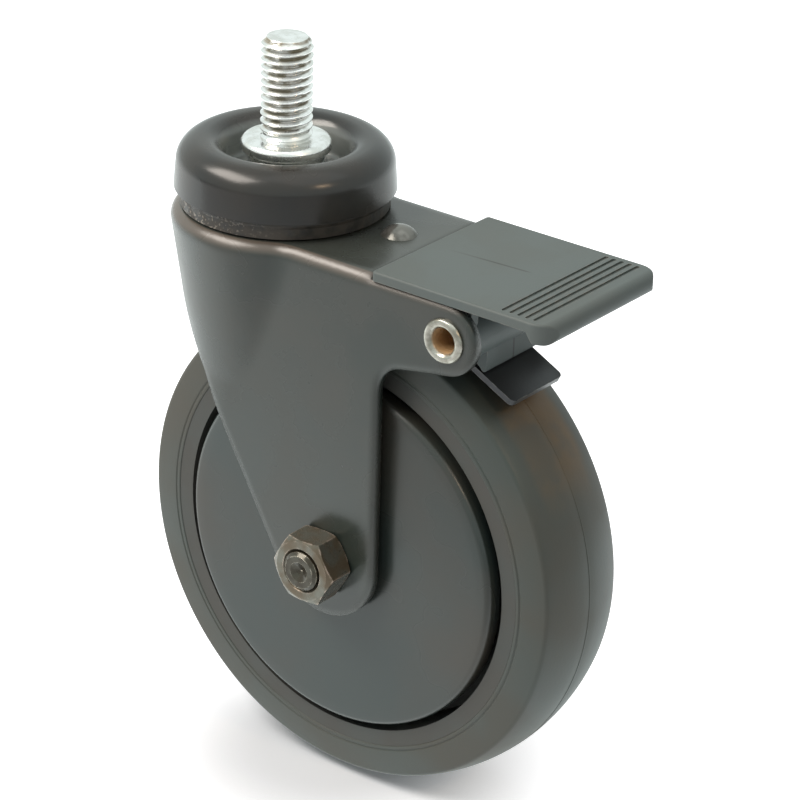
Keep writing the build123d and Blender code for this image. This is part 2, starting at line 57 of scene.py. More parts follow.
# %% Places read from the solids
tyre_low, tyre_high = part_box("tyre")
wheel_radius = (tyre_high.z - tyre_low.z) / 2 / mm
axle_centre = Vector(((tyre_low.x + tyre_high.x) / 2, 0, (tyre_low.z + tyre_high.z) / 2))
floor_height = tyre_low.z
tube_low, tube_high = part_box("pivot_tube")
pivot_centre = (tube_low + tube_high) / 2
race_low, race_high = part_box("upper_race")
stem_low, stem_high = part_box("threaded_stem")
print("wheel radius", round(wheel_radius, 2), "floor at", round(floor_height / mm, 2))
print("brake pivot at", [round(value / mm, 2) for value in pivot_centre])

# %% [markdown]
# The camera stands where the photograph was taken from. Its distance is large for such a small
# object, so the lens is long and the view nearly parallel. The small roll is the photograph's tilt.
# The camera's axes are worked out from the two angles, as turning it by hand would give them, and
# then tilted by the roll.

# %% Camera
camera_place = Vector((492.0, -601.2, 295.6)) * mm
camera_azimuth = math.radians(37.14)
camera_elevation = math.radians(25.18)
camera_roll = math.radians(1.66)
camera_lens = 154.8
sensor_width = 36
nearest_seen = 0.05

back = Vector((
    math.sin(camera_azimuth) * math.cos(camera_elevation),
    -math.cos(camera_azimuth) * math.cos(camera_elevation),
    math.sin(camera_elevation),
))
level_right = Vector((math.cos(camera_azimuth), math.sin(camera_azimuth), 0))
level_up = back.cross(level_right)
right = level_right * math.cos(camera_roll) + level_up * math.sin(camera_roll)
up = level_up * math.cos(camera_roll) - level_right * math.sin(camera_roll)
camera_turn = Matrix((right, up, back)).transposed().to_4x4()

bpy.ops.object.camera_add()
camera = bpy.context.object
camera.name = "camera"
camera.data.sensor_width = sensor_width
camera.data.lens = camera_lens
camera.data.clip_start = nearest_seen
camera.matrix_world = Matrix.Translation(camera_place) @ camera_turn
bpy.context.scene.camera = camera
print("camera at", [round(value, 3) for value in camera_place])

# %% [markdown]
# Most pieces of a castor are round: they were turned, pressed or moulded about an axis. By hand you
# would put down one vertex, extrude it along half of the section and spin that outline round the
# axis. An outline is kept as a list of rows, and each row is a corner's radius, its place along the
# axis and its round, all in millimetres. Corners get their rounds first, because a round in the
# outline costs only a few points, while a bevel on the finished ring costs many faces.

# %% Outlines with rounded corners
def rounded(rows, steps=5):
    """Points of an outline with an arc at each corner that has a round."""
    points = []
    rows_before = rows[-1:] + rows[:-1]
    rows_after = rows[1:] + rows[:1]
    for row_before, row, row_after in zip(rows_before, rows, rows_after):
        corner = Vector(row[:2])
        radius = row[2]
        if radius == 0:
            points.append(corner)
            continue
        to_before = (Vector(row_before[:2]) - corner).normalized()
        to_after = (Vector(row_after[:2]) - corner).normalized()
        half_angle = to_before.angle(to_after) / 2
        middle = corner + (to_before + to_after).normalized() * radius / math.sin(half_angle)
        first = corner + to_before * radius / math.tan(half_angle) - middle
        last = corner + to_after * radius / math.tan(half_angle) - middle
        for step in range(steps + 1):
            points.append(middle + first.lerp(last, step / steps).normalized() * radius)
    return points


square = [(0, 0, 1), (4, 0, 1), (4, 4, 1), (0, 4, 1)]
print("a square with four rounds has", len(rounded(square)), "points")

# %% [markdown]
# A plane that is merged at its centre leaves one vertex, and each extrusion adds the next. While
# the piece is in edit mode its object still stands at the first vertex, so its place is applied
# when edit mode ends. After that the object is at the origin, unturned and unscaled.

# %% An outline as a mesh
same_place = 0.001 * mm


def drawn(name, places):
    """A new piece in edit mode: one vertex, extruded from place to place."""
    bpy.ops.object.select_all(action="DESELECT")
    bpy.ops.mesh.primitive_plane_add(size=mm, location=places[0])
    piece = bpy.context.object
    piece.name = name
    piece.data.name = name
    bpy.ops.object.mode_set(mode="EDIT")
    bpy.ops.mesh.select_all(action="SELECT")
    bpy.ops.mesh.merge(type="CENTER")
    for here, there in zip(places, places[1:]):
        bpy.ops.mesh.extrude_region_move(TRANSFORM_OT_translate={"value": there - here})
    return piece


def leave_edit_mode():
    """Back to object mode, with the piece's place applied to its mesh."""
    bpy.ops.object.mode_set(mode="OBJECT")
    bpy.ops.object.transform_apply(location=True, rotation=True, scale=True)


print("vertices nearer than", same_place / mm, "mm count as one")

# %% [markdown]
# Spinning the outline gives a round piece. Its first and last rings meet, so their doubles are
# merged before the normals are turned outwards. A pressed or moulded piece has the same wall all
# over, so only the middle line of its wall is drawn, and Solidify gives it its thickness.

# %% Turned pieces
smooth_below = math.radians(32)


def turned(name, rows, centre=Vector((0, 0, 0)), axis=Vector((0, 0, 1)), steps=128, round_steps=5,
           wall=0):
    """Spin an outline round an axis. With a wall, the outline is the middle line of a sheet."""
    outline = rounded(rows, round_steps)
    across = Vector((1, 0, 0))
    places = [centre + across * radius * mm + axis * along * mm for radius, along in outline]
    piece = drawn(name, places)
    bpy.ops.mesh.select_all(action="SELECT")
    bpy.ops.mesh.spin(steps=steps, angle=2 * math.pi, center=centre, axis=axis)
    bpy.ops.mesh.select_all(action="SELECT")
    bpy.ops.mesh.remove_doubles(threshold=same_place)
    bpy.ops.mesh.normals_make_consistent(inside=False)
    leave_edit_mode()
    if wall:
        sheet = piece.modifiers.new("sheet", "SOLIDIFY")
        sheet.thickness = wall * mm
        sheet.offset = 0
        sheet.use_even_offset = True
        bpy.ops.object.modifier_apply(modifier=sheet.name)
    bpy.ops.object.shade_smooth_by_angle(angle=smooth_below)
    print(name, len(piece.data.polygons), "faces")
    return piece


def stands_for(piece, body, slot, *nodes):
    """Let a piece ride on a body and show instead of its solids."""
    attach(piece, body)
    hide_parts(*nodes)


print("edges below", round(math.degrees(smooth_below)), "degrees are shaded smooth")

# %% [markdown]
# The stem's foot is one turned piece: the flange, the shoulder and the kingpin that goes down
# through the races and is riveted over at its end. The flange's rim is a chamfer with both of its
# corners rounded off, and it catches the light all round.

# %% Stem flange and kingpin
flange_radius = stem_high.x / mm
flange_height = 3.2
flange_chamfer = 0.9
rim_round = 1.4
rim_under_round = 0.9
shoulder_radius = 9.5
cap_wall = 1.4
cap_floor_top = race_high.z / mm + cap_wall
kingpin_radius = 6.5
kingpin_bottom = stem_low.z / mm
rivet_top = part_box("lower_race")[0].z / mm
rivet_radius = 10.0
stem_foot = turned(
    "stem_foot",
    [
        (0, 0, 0),
        (flange_radius - flange_chamfer, 0, rim_round),
        (flange_radius, -flange_chamfer, rim_round),
        (flange_radius, -flange_height, rim_under_round),
        (shoulder_radius, -flange_height, 0),
        (shoulder_radius, cap_floor_top, 0),
        (kingpin_radius, cap_floor_top, 0),
        (kingpin_radius, rivet_top, 0),
        (rivet_radius, rivet_top, 0.3),
        (rivet_radius - 1.0, kingpin_bottom + 1.2, 1.5),
        (rivet_radius - 4.0, kingpin_bottom + 0.2, 3.0),
        (0, kingpin_bottom, 0),
    ],
)
stands_for(stem_foot, "stem", "stem", "threaded_stem")

# %% [markdown]
# The thread is a 1/2-13 inch right-hand thread with 60 degree flanks. One pitch of its section is
# drawn, and the Screw modifier winds it up. The winding starts below the flange and ends above the
# stem's end, so that both ends can be cut level later.

# %% Stem thread
thread_pitch = 25.4 / 13
crest_radius = 6.35
root_radius = 5.22
crest_flat = 0.3
root_flat = 0.38
crest_round = 0.08
root_round = 0.12
flank = (thread_pitch - crest_flat - root_flat) / 2
crest_start = root_flat / 2 + flank
thread_start = -2 * thread_pitch
thread_turns = 17
steps_per_turn = 64

thread_section = rounded(
    [
        (root_radius, 0, 0),
        (root_radius, root_flat / 2, root_round),
        (crest_radius, crest_start, crest_round),
        (crest_radius, crest_start + crest_flat, crest_round),
        (root_radius, thread_pitch - root_flat / 2, root_round),
        (root_radius, thread_pitch, 0),
    ],
    steps=2,
)
section_places = [
    Vector((radius, 0, thread_start + along)) * mm for radius, along in thread_section
]
stem_thread = drawn("stem_thread", section_places)
leave_edit_mode()
winding = stem_thread.modifiers.new("winding", "SCREW")
winding.axis = "Z"
winding.screw_offset = thread_pitch * mm
winding.iterations = thread_turns
winding.steps = steps_per_turn
winding.render_steps = steps_per_turn
winding.use_merge_vertices = True
winding.merge_threshold = same_place
bpy.ops.object.modifier_apply(modifier=winding.name)
print("wound", thread_turns, "turns with", len(stem_thread.data.vertices), "vertices")

# %% [markdown]
# A cone at the top trims the crests, as the chamfer of the real end does. Towards the flange the
# roots run out, because the die can't reach right up to it. The two bisect cuts come last, which
# keeps both ends flat.

# %% Ends of the thread
stem_top = stem_high.z / mm
end_chamfer = 1.4
run_out = 4.2
run_out_radius = 6.1
for vertex in stem_thread.data.vertices:
    radius = math.hypot(vertex.co.x, vertex.co.y) / mm
    height = vertex.co.z / mm
    still_to_run = min(1, max(0, 1 - height / run_out))
    lowest_root = root_radius + (run_out_radius - root_radius) * still_to_run
    highest_crest = crest_radius - max(0, height - stem_top + end_chamfer)
    trimmed = min(max(radius, lowest_root), highest_crest)
    vertex.co.x *= trimmed / radius
    vertex.co.y *= trimmed / radius

bpy.ops.object.mode_set(mode="EDIT")
bpy.ops.mesh.select_all(action="SELECT")
bpy.ops.mesh.remove_doubles(threshold=same_place)
for height, side in ((stem_top, 1), (-flange_height / 2, -1)):
    bpy.ops.mesh.select_all(action="SELECT")
    bpy.ops.mesh.bisect(
        plane_co=(0, 0, height * mm), plane_no=(0, 0, side), clear_outer=True, use_fill=True,
        threshold=same_place,
    )
bpy.ops.mesh.select_all(action="SELECT")
bpy.ops.mesh.normals_make_consistent(inside=False)
leave_edit_mode()
bpy.ops.object.shade_smooth_by_angle(angle=smooth_below)
stands_for(stem_thread, "stem", "stem", "threaded_stem")
print("stem_thread", len(stem_thread.data.polygons), "faces")

# %% [markdown]
# The dust cap is a deep plastic ring with one wall thickness all over. Its top is all curve: a wide
# round outside meets a tighter one that dips into the recess. The skirt flares a little towards its
# edge.

# %% Dust cap
cap_low, cap_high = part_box("dust_cap")
cap_top = cap_high.z / mm - cap_wall / 2
cap_floor = cap_floor_top - cap_wall / 2
cap_hole_radius = 16.0
cap_edge_radius = cap_high.x / mm - cap_wall / 2
cap_flare = 0.9
cap_floor_round = 2.4
cap_hole_round = 3.8
cap_outer_round = 5.2
dust_cap = turned(
    "dust_cap_ring",
    [
        (kingpin_radius, cap_floor, 0),
        (cap_hole_radius, cap_floor, cap_floor_round),
        (cap_hole_radius, cap_top, cap_hole_round),
        (cap_edge_radius - cap_flare, cap_top, cap_outer_round),
        (cap_edge_radius, cap_low.z / mm, 0),
    ],
    steps=160,
    round_steps=10,
    wall=cap_wall,
)
stands_for(dust_cap, "stem", "cap", "dust_cap")

# %% [markdown]
# The upper race is pressed from sheet steel and turns down round the balls. The photograph shows a
# fine bead round its skirt, just under the edge of the cap.

# %% Upper race
race_wall = 2.0
race_radius = race_high.x / mm - race_wall / 2
race_top = race_high.z / mm - race_wall / 2
race_round = 0.7
bead_height = -13.0
bead = 0.3
upper_race = turned(
    "upper_race_cup",
    [
        (kingpin_radius, race_top, 0),
        (race_radius, race_top, race_round),
        (race_radius, bead_height + 2 * bead, 0.2),
        (race_radius + bead, bead_height, 0.25),
        (race_radius, bead_height - 2 * bead, 0.2),
        (race_radius, race_low.z / mm, 0),
    ],
    wall=race_wall,
)
stands_for(upper_race, "stem", "race", "upper_race")

# %% [markdown]
# A hollow rivet joins the two arms and carries the pedal. A hand press rolls both of its ends
# outwards over the sheet, so each end is a funnel that turns over into a round lip. Only one end is
# written down, and the other is its mirror image.

# %% Rolled eyelet of the brake pivot
along_axle = Vector((0, 1, 0))
eyelet_end = tube_high.y / mm

# Each row is a radius, a depth below the rivet's end and a round.
rolled_lip = [
    (3.6, 1.1, 0),
    (5.45, 1.1, 0),
    (5.5, 0.75, 0.2),
    (5.25, 0.25, 0.4),
    (4.75, 0, 0.4),
    (4.2, 0, 0.5),
    (3.7, 0.2, 0.7),
    (3.2, 0.8, 1.0),
    (2.9, 1.7, 1.0),
    (2.8, 2.8, 0.4),
]


def both_sides(half):
    """Close half an outline with its mirror image across the middle."""
    other_half = [(radius, -along, corner) for radius, along, corner in reversed(half) if along]
    return half + other_half + half[:1]


eyelet = turned(
    "brake_eyelet",
    both_sides([(radius, eyelet_end - depth, corner) for radius, depth, corner in rolled_lip]),
    centre=Vector((pivot_centre.x, 0, pivot_centre.z)),
    axis=along_axle,
    steps=64,
    round_steps=3,
)
stands_for(eyelet, "swivel_fork", "eyelet", "pivot_tube")

# %% [markdown]
# The tyre is moulded in a two-part mould, and its parting line shows as a fine seam round the middle
# of the tread. The tread is crowned: it is part of a wide arc that drops towards the shoulders. On
# both sides a shallow groove marks where the rubber meets the core.

# %% Tyre
tyre_half_width = tyre_high.y / mm
shoulder_half_width = tyre_half_width - 1.0
shoulder_round = 1.3
tread_drop = 2.7
tread_steps = 8
seam_height = 0.12
seam_half_width = 0.25
rim_radius = 52.4
rim_edge_round = 0.3
groove_radius = 53.6
groove_half_width = 0.35
groove_depth = 0.35
groove_round = 0.15
side_fall = 0.05
arc_radius = (shoulder_half_width ** 2 + tread_drop ** 2) / (2 * tread_drop)


def tread_radius(along):
    """Radius of the crowned tread at a distance from the middle of the tyre."""
    return wheel_radius - arc_radius + math.sqrt(arc_radius ** 2 - along ** 2)


half_tyre = [
    (rim_radius, 0, 0),
    (rim_radius, tyre_half_width, rim_edge_round),
    (groove_radius - groove_half_width, tyre_half_width - side_fall, groove_round),
    (groove_radius, tyre_half_width - groove_depth, groove_round),
    (groove_radius + groove_half_width, tyre_half_width - 2 * side_fall, groove_round),
    (wheel_radius - tread_drop, shoulder_half_width, shoulder_round),
]
for step in range(1, tread_steps):
    along = shoulder_half_width * (1 - step / tread_steps)
    half_tyre.append((tread_radius(along), along, 0))
half_tyre.append((tread_radius(seam_half_width) - seam_height, seam_half_width, 0))
half_tyre.append((wheel_radius, seam_half_width / 2, 0))
tyre = turned(
    "rubber_tyre",
    both_sides(half_tyre),
    centre=axle_centre,
    axis=along_axle,
    steps=192,
    round_steps=4,
)
stands_for(tyre, "wheel", "tyre", "tyre")

# %% [markdown]
# The thread guards are domed plastic discs that keep threads and dust out of the hub. Each is drawn
# as the middle line of its wall. The near one is the far one's outline with its sign changed. The
# photograph shows a narrower ring between guard and rim than the solids have, so the visible disc
# reaches a little further out and stands a little prouder than the solid that it covers.

# %% Thread guards
guard_low, guard_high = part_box("far_thread_guard")
guard_reach = 1.1
guard_stand = 0.4
guard_wall = 1.6
guard_radius = (guard_high.x - guard_low.x) / 2 / mm + guard_reach - guard_wall / 2
guard_top = guard_high.y / mm + guard_stand
guard_dome = 0.7
guard_skirt = 4.5
guard_hole = 11.5
guard_edge_round = 0.9
dome_steps = 10


def guard_rows(side):
    """Middle line of the guard's wall, from its hole over the dome and down the skirt."""
    rows = []
    for step in range(dome_steps + 1):
        share = step / dome_steps
        radius = guard_hole + (guard_radius - guard_hole) * share
        height = guard_top - guard_wall / 2 - guard_dome * share ** 2
        rows.append((radius, height * side, guard_edge_round if step == dome_steps else 0))
    rows.append((guard_radius, (guard_top - guard_dome - guard_skirt) * side, 0))
    return rows


for node, side in (("far_thread_guard", 1), ("near_thread_guard", -1)):
    guard = turned(
        node + "_disc", guard_rows(side), centre=axle_centre, axis=along_axle, steps=160,
        wall=guard_wall,
    )
    stands_for(guard, "wheel", "guard", node)

# %% [markdown]
# Every finish uses the same few effects, so each effect is a node group. The first two are noise.
# Patches are slow changes of tone, as dust and handling leave them, and grain is the fine relief of
# a moulded or coated surface. They read Object coordinates, which stay with a piece when it moves.

# %% Patches and grain
def group_with(name, inputs, output):
    """A shader node group with number and vector inputs, one number output and an empty tree."""
    group = bpy.data.node_groups.new(name, "ShaderNodeTree")
    for socket_name, value in inputs.items():
        kind = "NodeSocketVector" if isinstance(value, tuple) else "NodeSocketFloat"
        socket = group.interface.new_socket(socket_name, in_out="INPUT", socket_type=kind)
        socket.default_value = value
    group.interface.new_socket(output, in_out="OUTPUT", socket_type="NodeSocketFloat")
    given = group.nodes.new("NodeGroupInput").outputs
    result = group.nodes.new("NodeGroupOutput").inputs[output]
    return group, given, result


def feed(tree, value, socket):
    """Give a socket a value, or link it to another node's output."""
    if isinstance(value, bpy.types.NodeSocket):
        tree.links.new(value, socket)
    else:
        socket.default_value = value


def object_place(tree):
    """Object coordinates in metres."""
    return tree.nodes.new("ShaderNodeTexCoord").outputs["Object"]


def noise_in(tree, scale, detail):
    """A noise texture on Object coordinates."""
    noise = tree.nodes.new("ShaderNodeTexNoise")
    noise.inputs["Detail"].default_value = detail
    tree.links.new(object_place(tree), noise.inputs["Vector"])
    feed(tree, scale, noise.inputs["Scale"])
    return noise.outputs["Fac"]


def spread(tree, value, low, high, to_low=0.0, to_high=1.0):
    """Stretch the part of a value between low and high to a new range, with soft ends."""
    node = tree.nodes.new("ShaderNodeMapRange")
    node.interpolation_type = "SMOOTHSTEP"
    node.inputs["From Min"].default_value = low
    node.inputs["From Max"].default_value = high
    node.inputs["To Min"].default_value = to_low
    node.inputs["To Max"].default_value = to_high
    tree.links.new(value, node.inputs["Value"])
    return node.outputs["Result"]


patch_range = (0.35, 0.65)
patches, given, result = group_with("patches", {"Scale": 60.0}, "Patches")
patchy = noise_in(patches, given["Scale"], detail=4)
patches.links.new(spread(patches, patchy, *patch_range), result)

grain, given, result = group_with("grain", {"Scale": 1500.0}, "Height")
grain.links.new(noise_in(grain, given["Scale"], detail=2), result)
print("noise groups:", patches.name, "and", grain.name)

# %% [markdown]
# Edges wear first. The Bevel node gives the normal that a rounded edge would have. On a flat face
# it is like the true normal, with a likeness of 1, and near an edge the likeness drops. Noise breaks
# the worn line up, because wear is never even.

# %% Edge wear
def calculate(tree, operation, first, second):
    """A Math node on two values, each a socket or a number."""
    node = tree.nodes.new("ShaderNodeMath")
    node.operation = operation
    feed(tree, first, node.inputs[0])
    feed(tree, second, node.inputs[1])
    return node.outputs["Value"]


def where_all(tree, mask, *others):
    """Multiply masks, so that the result is 1 only where all of them are."""
    for other in others:
        mask = calculate(tree, "MULTIPLY", mask, other)
    return mask


def vector_step(tree, operation, first, second=None):
    """A Vector Math node on a socket and, where it needs one, a second socket or vector."""
    node = tree.nodes.new("ShaderNodeVectorMath")
    node.operation = operation
    feed(tree, first, node.inputs[0])
    if second is not None:
        feed(tree, second, node.inputs[1])
    return node.outputs["Value" if operation in ("DOT_PRODUCT", "LENGTH") else "Vector"]


def softened_normal(tree, radius, samples):
    """The normal that the surface would have with its edges rounded by a radius in metres."""
    bevel = tree.nodes.new("ShaderNodeBevel")
    bevel.samples = samples
    feed(tree, radius, bevel.inputs["Radius"])
    return bevel.outputs["Normal"]


flat_likeness = 0.99
edge_likeness = 0.85
broken_range = (0.42, 0.6)
wear, given, result = group_with("edge wear", {"Width": 0.0005, "Scale": 400.0}, "Wear")
true_normal = wear.nodes.new("ShaderNodeNewGeometry").outputs["Normal"]
rounded_normal = softened_normal(wear, given["Width"], samples=6)
likeness = vector_step(wear, "DOT_PRODUCT", rounded_normal, true_normal)
edge = spread(wear, likeness, flat_likeness, edge_likeness)
broken = spread(wear, noise_in(wear, given["Scale"], detail=3), *broken_range)
wear.links.new(where_all(wear, edge, broken), result)
print("edges show where the likeness drops below", flat_likeness)

# %% [markdown]
# Grease, dust and rubbing follow the turned shapes. The last group measures how far a point is from
# an axis: Centre is a point on the axis, and Across is 1 in the two directions across it.

# %% Distance from an axis
off_axis, given, result = group_with(
    "distance from an axis", {"Centre": (0.0, 0.0, 0.0), "Across": (1.0, 1.0, 0.0)}, "Distance"
)
from_centre = vector_step(off_axis, "SUBTRACT", object_place(off_axis), given["Centre"])
across = vector_step(off_axis, "MULTIPLY", from_centre, given["Across"])
off_axis.links.new(vector_step(off_axis, "LENGTH", across), result)
print("made the group", off_axis.name)

# %% [markdown]
# The shader stays in the material, and the groups only give it masks and heights. In the node editor
# you would add a group, type in its values and plug its output into a Mix node. Two helpers do that.

# %% Groups and colours in a material
def place_group(tree, group, **values):
    """Put a group into a material with its own values and return its output."""
    node = tree.nodes.new("ShaderNodeGroup")
    node.node_tree = group
    for name, value in values.items():
        node.inputs[name].default_value = value
    return node.outputs[0]


def blend_colours(tree, mask, first, second):
    """Mix two colours by a mask; each is a colour or a socket."""
    node = tree.nodes.new("ShaderNodeMix")
    node.data_type = "RGBA"
    tree.links.new(mask, node.inputs["Factor"])
    for colour, socket in ((first, node.inputs[6]), (second, node.inputs[7])):
        feed(tree, (*colour, 1) if isinstance(colour, tuple) else colour, socket)
    return node.outputs[2]


print("a finish can use", ", ".join(group.name for group in bpy.data.node_groups))

# %% [markdown]
# A finish is two tones blended by patches, a range of roughness on the same patches, a grain that
# bumps the surface, marks that lie on it and, where the real edge rubs bare, one more colour by edge
# wear. What is the same all over, such as the specular level, is set on the shader itself.

# %% How a finish is made
wear_scale = 500.0
bump_strength = 0.6


def finish(name, tones, roughness, patch_scale=60.0, grain_scale=1500.0, grain_depth=0.02,
           metallic=0.0, specular=0.5, worn=None, worn_width=0.4, marks=(), softened=0.0):
    """A material of two tones with patches and grain, worn edges and marks given as (mask, colour).

    A mark is a film of oil, grease or dust, or painted light or shade, and the metal under a mark
    no longer shines as metal. A softened finish lies thicker on the edges, as a powder coat does, and
    rounds them in the light.
    The grain's depth, the worn width and the softening are in millimetres.
    """
    material = bpy.data.materials.new(name)
    material.use_nodes = True
    tree = material.node_tree
    shader = tree.nodes["Principled BSDF"]
    shader.inputs["Metallic"].default_value = metallic
    shader.inputs["Specular IOR Level"].default_value = specular
    patchy = place_group(tree, patches, Scale=patch_scale)
    tree.links.new(spread(tree, patchy, 0, 1, *roughness), shader.inputs["Roughness"])

    colour = blend_colours(tree, patchy, *tones)
    for mask, mark_colour in marks:
        covered = mask(tree)
        colour = blend_colours(tree, covered, colour, mark_colour)
        if metallic:
            tree.links.new(spread(tree, covered, 0, 1, metallic, 0), shader.inputs["Metallic"])
    if worn:
        edges = place_group(tree, wear, Width=worn_width * mm, Scale=wear_scale)
        colour = blend_colours(tree, edges, colour, worn)
    tree.links.new(colour, shader.inputs["Base Color"])

    bump = tree.nodes.new("ShaderNodeBump")
    bump.inputs["Strength"].default_value = bump_strength
    bump.inputs["Distance"].default_value = grain_depth * mm
    tree.links.new(place_group(tree, grain, Scale=grain_scale), bump.inputs["Height"])
    if softened:
        tree.links.new(softened_normal(tree, softened * mm, samples=8), bump.inputs["Normal"])
    tree.links.new(bump.outputs["Normal"], shader.inputs["Normal"])
    return material


def coat(material, *names):
    """Give pieces and CAD nodes a material in all their slots."""
    for name in names:
        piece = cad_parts.get(name) or bpy.data.objects[name]
        if not piece.material_slots:
            piece.data.materials.append(material)
        for slot in piece.material_slots:
            slot.material = material
    print(material.name, "on", ", ".join(names))


print("each grain bumps with a strength of", bump_strength)

# %% [markdown]
# The simplest finishes have no marks. The balls are polished steel, the core is black plastic and the
# bushes are white plastic. Little of them shows once the castor is together.

# %% Balls, bushes and core
coat(
    finish("hardened balls", ((0.6, 0.6, 0.58), (0.5, 0.5, 0.49)), (0.1, 0.2), metallic=1.0),
    "upper_balls", "lower_balls",
)
coat(
    finish("white bush", ((0.5, 0.5, 0.47), (0.42, 0.42, 0.4)), (0.4, 0.5)),
    "far_bush", "near_bush",
)
coat(
    finish("black core", ((0.07, 0.076, 0.07), (0.085, 0.085, 0.078)), (0.45, 0.6), specular=0.35),
    "wheel_core",
)

# %% [markdown]
# The stem is zinc-plated steel, bright on the crests. Its thread roots are dark: painted shade where
# shade falls in the roots, with a film of dark oil that dulls the metal there. That dark line is what
# makes the thread read as a thread. The dark is uneven, and it stops short of the end face and of the
# flange.

# %% Zinc of the stem
dark_roots_from = 5.95
dark_roots_full = 5.3
faintest_dark_roots = 0.35
bright_end = 0.2
bright_foot = 2.0


def height_in(tree):
    """Height of the point in metres."""
    parts = tree.nodes.new("ShaderNodeSeparateXYZ")
    tree.links.new(object_place(tree), parts.inputs["Vector"])
    return parts.outputs["Z"]


def root_oil_and_painted_shade(tree):
    """1 in the thread's roots, painted shade and oil, 0 on its crests and on the end face."""
    height = height_in(tree)
    return where_all(
        tree,
        spread(tree, place_group(tree, off_axis), dark_roots_from * mm, dark_roots_full * mm),
        spread(tree, place_group(tree, patches, Scale=260.0), 0, 1, faintest_dark_roots, 1),
        spread(tree, height, stem_top * mm, (stem_top - bright_end) * mm),
        spread(tree, height, 0.0, bright_foot * mm),
    )


coat(
    finish("bright zinc", ((0.88, 0.88, 0.87), (0.68, 0.68, 0.65)), (0.14, 0.3), metallic=1.0,
           patch_scale=260, grain_scale=2600, grain_depth=0.01,
           marks=[(root_oil_and_painted_shade, (0.24, 0.22, 0.15))]),
    "stem_foot", "stem_thread",
)

# %% [markdown]
# The races are black with oil, and crumbs of dirt stick to it. They lie thickest on one side, which
# is found with a dot product: it measures how far a point lies in a direction.

# %% Oiled races
crumb_scale = 1300.0
crumb_range = (0.56, 0.64)
dirty_side = (-0.6, -0.8, 0.0)
dirt_from = 5.0
dirt_full = 26.0


def crumbs(tree):
    """1 on the crumbs of dirt that stick in the grease of the race, most of them on one side."""
    specks = spread(tree, noise_in(tree, crumb_scale, detail=4), *crumb_range)
    to_dirty_side = vector_step(tree, "DOT_PRODUCT", object_place(tree), dirty_side)
    return where_all(tree, specks, spread(tree, to_dirty_side, dirt_from * mm, dirt_full * mm))


coat(
    finish("oiled black steel", ((0.02, 0.018, 0.015), (0.05, 0.043, 0.035)), (0.4, 0.6),
           patch_scale=350, grain_scale=700, grain_depth=0.12,
           marks=[(crumbs, (0.24, 0.215, 0.18))]),
    "upper_race_cup", "lower_race",
)

# %% [markdown]
# The dust cap is glossy black plastic, and its brown patches are a painted warm reflection. Dust lies
# in its recess, where no hand wipes it off, so the recess is paler than the ring round it.

# %% Dust cap plastic
dust_from = cap_hole_radius + 1.1
dust_full = cap_hole_radius - 0.5


def recess_dust(tree):
    """1 inside the cap's recess, 0 on the ring that hands touch."""
    return spread(tree, place_group(tree, off_axis), dust_from * mm, dust_full * mm)


coat(
    finish("black moulded cap", ((0.02, 0.021, 0.02), (0.032, 0.027, 0.022)), (0.2, 0.28),
           patch_scale=35, grain_scale=900, grain_depth=0.015,
           marks=[(recess_dust, (0.24, 0.26, 0.25))]),
    "dust_cap_ring",
)

# %% [markdown]
# The fork has a satin black coat that is a touch green beside the warm steel parts. The fold round
# its crown has a painted warm highlight, and the level crown itself has a paler, cooler painted
# sheen.
# Both marks are found by their height alone, and the sheen comes second, so it lies over the painted
# highlight.

# %% Fork coat
crown_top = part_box("fork")[1].z / mm
fold_from = crown_top - 3.2
fold_full = crown_top - 1.2
level_from = crown_top - 0.2
level_full = crown_top - 0.05


def painted_fold_highlight(tree):
    """1 on the crown and the fold round it, where a highlight is painted, fading down the side."""
    return spread(tree, height_in(tree), fold_from * mm, fold_full * mm)


def painted_crown_sheen(tree):
    """1 on the fork's level crown, where a paler sheen is painted."""
    return spread(tree, height_in(tree), level_from * mm, level_full * mm)


coat(
    finish("black coated fork", ((0.026, 0.037, 0.032), (0.037, 0.041, 0.034)), (0.22, 0.32),
           patch_scale=40, grain_scale=1300, specular=0.65, worn=(0.2, 0.19, 0.165), softened=3.0,
           marks=[(painted_fold_highlight, (0.12, 0.102, 0.085)), (painted_crown_sheen, (0.046, 0.053, 0.047))]),
    "fork",
)

# %% [markdown]
# The small steel parts differ in how they were blackened. The rivet's head is rubbed, so it is paler.
# The axle's nut and bolt are black-oiled steel that has browned, and a spanner has rubbed the nut's
# edges bright. The brake's leaf is blued spring steel.

# %% Rivet, nut, bolt and leaf
coat(
    finish("rubbed rivet", ((0.2, 0.2, 0.185), (0.1, 0.1, 0.09)), (0.14, 0.26), patch_scale=300,
           metallic=0.5),
    "crown_rivet",
)
coat(
    finish("dark oiled nut", ((0.15, 0.15, 0.125), (0.12, 0.094, 0.062)), (0.22, 0.38),
           metallic=0.5, patch_scale=220, grain_scale=1200, grain_depth=0.05,
           worn=(0.62, 0.5, 0.42), worn_width=0.8),
    "axle_nut", "axle_sleeve",
)
coat(
    finish("dark oiled bolt", ((0.062, 0.058, 0.042), (0.038, 0.03, 0.018)), (0.16, 0.32),
           metallic=0.35, patch_scale=400, grain_scale=1200, grain_depth=0.03,
           worn=(0.7, 0.66, 0.55), worn_width=0.6),
    "axle_bolt",
)
coat(
    finish("blued spring steel", ((0.06, 0.062, 0.066), (0.045, 0.045, 0.046)), (0.3, 0.45),
           metallic=0.6, worn=(0.2, 0.2, 0.19)),
    "brake_leaf",
)

# %% [markdown]
# The eyelet is bright on its rolled lips and brown with old grease inside its bore.

# %% Eyelet steel
across_axle = (1.0, 0.0, 1.0)
grease_from = 3.5
grease_full = 2.95


def greasy_bore(tree):
    """1 in the bore of the eyelet, 0 on its lips."""
    radius = place_group(tree, off_axis, Centre=tuple(pivot_centre), Across=across_axle)
    return spread(tree, radius, grease_from * mm, grease_full * mm)


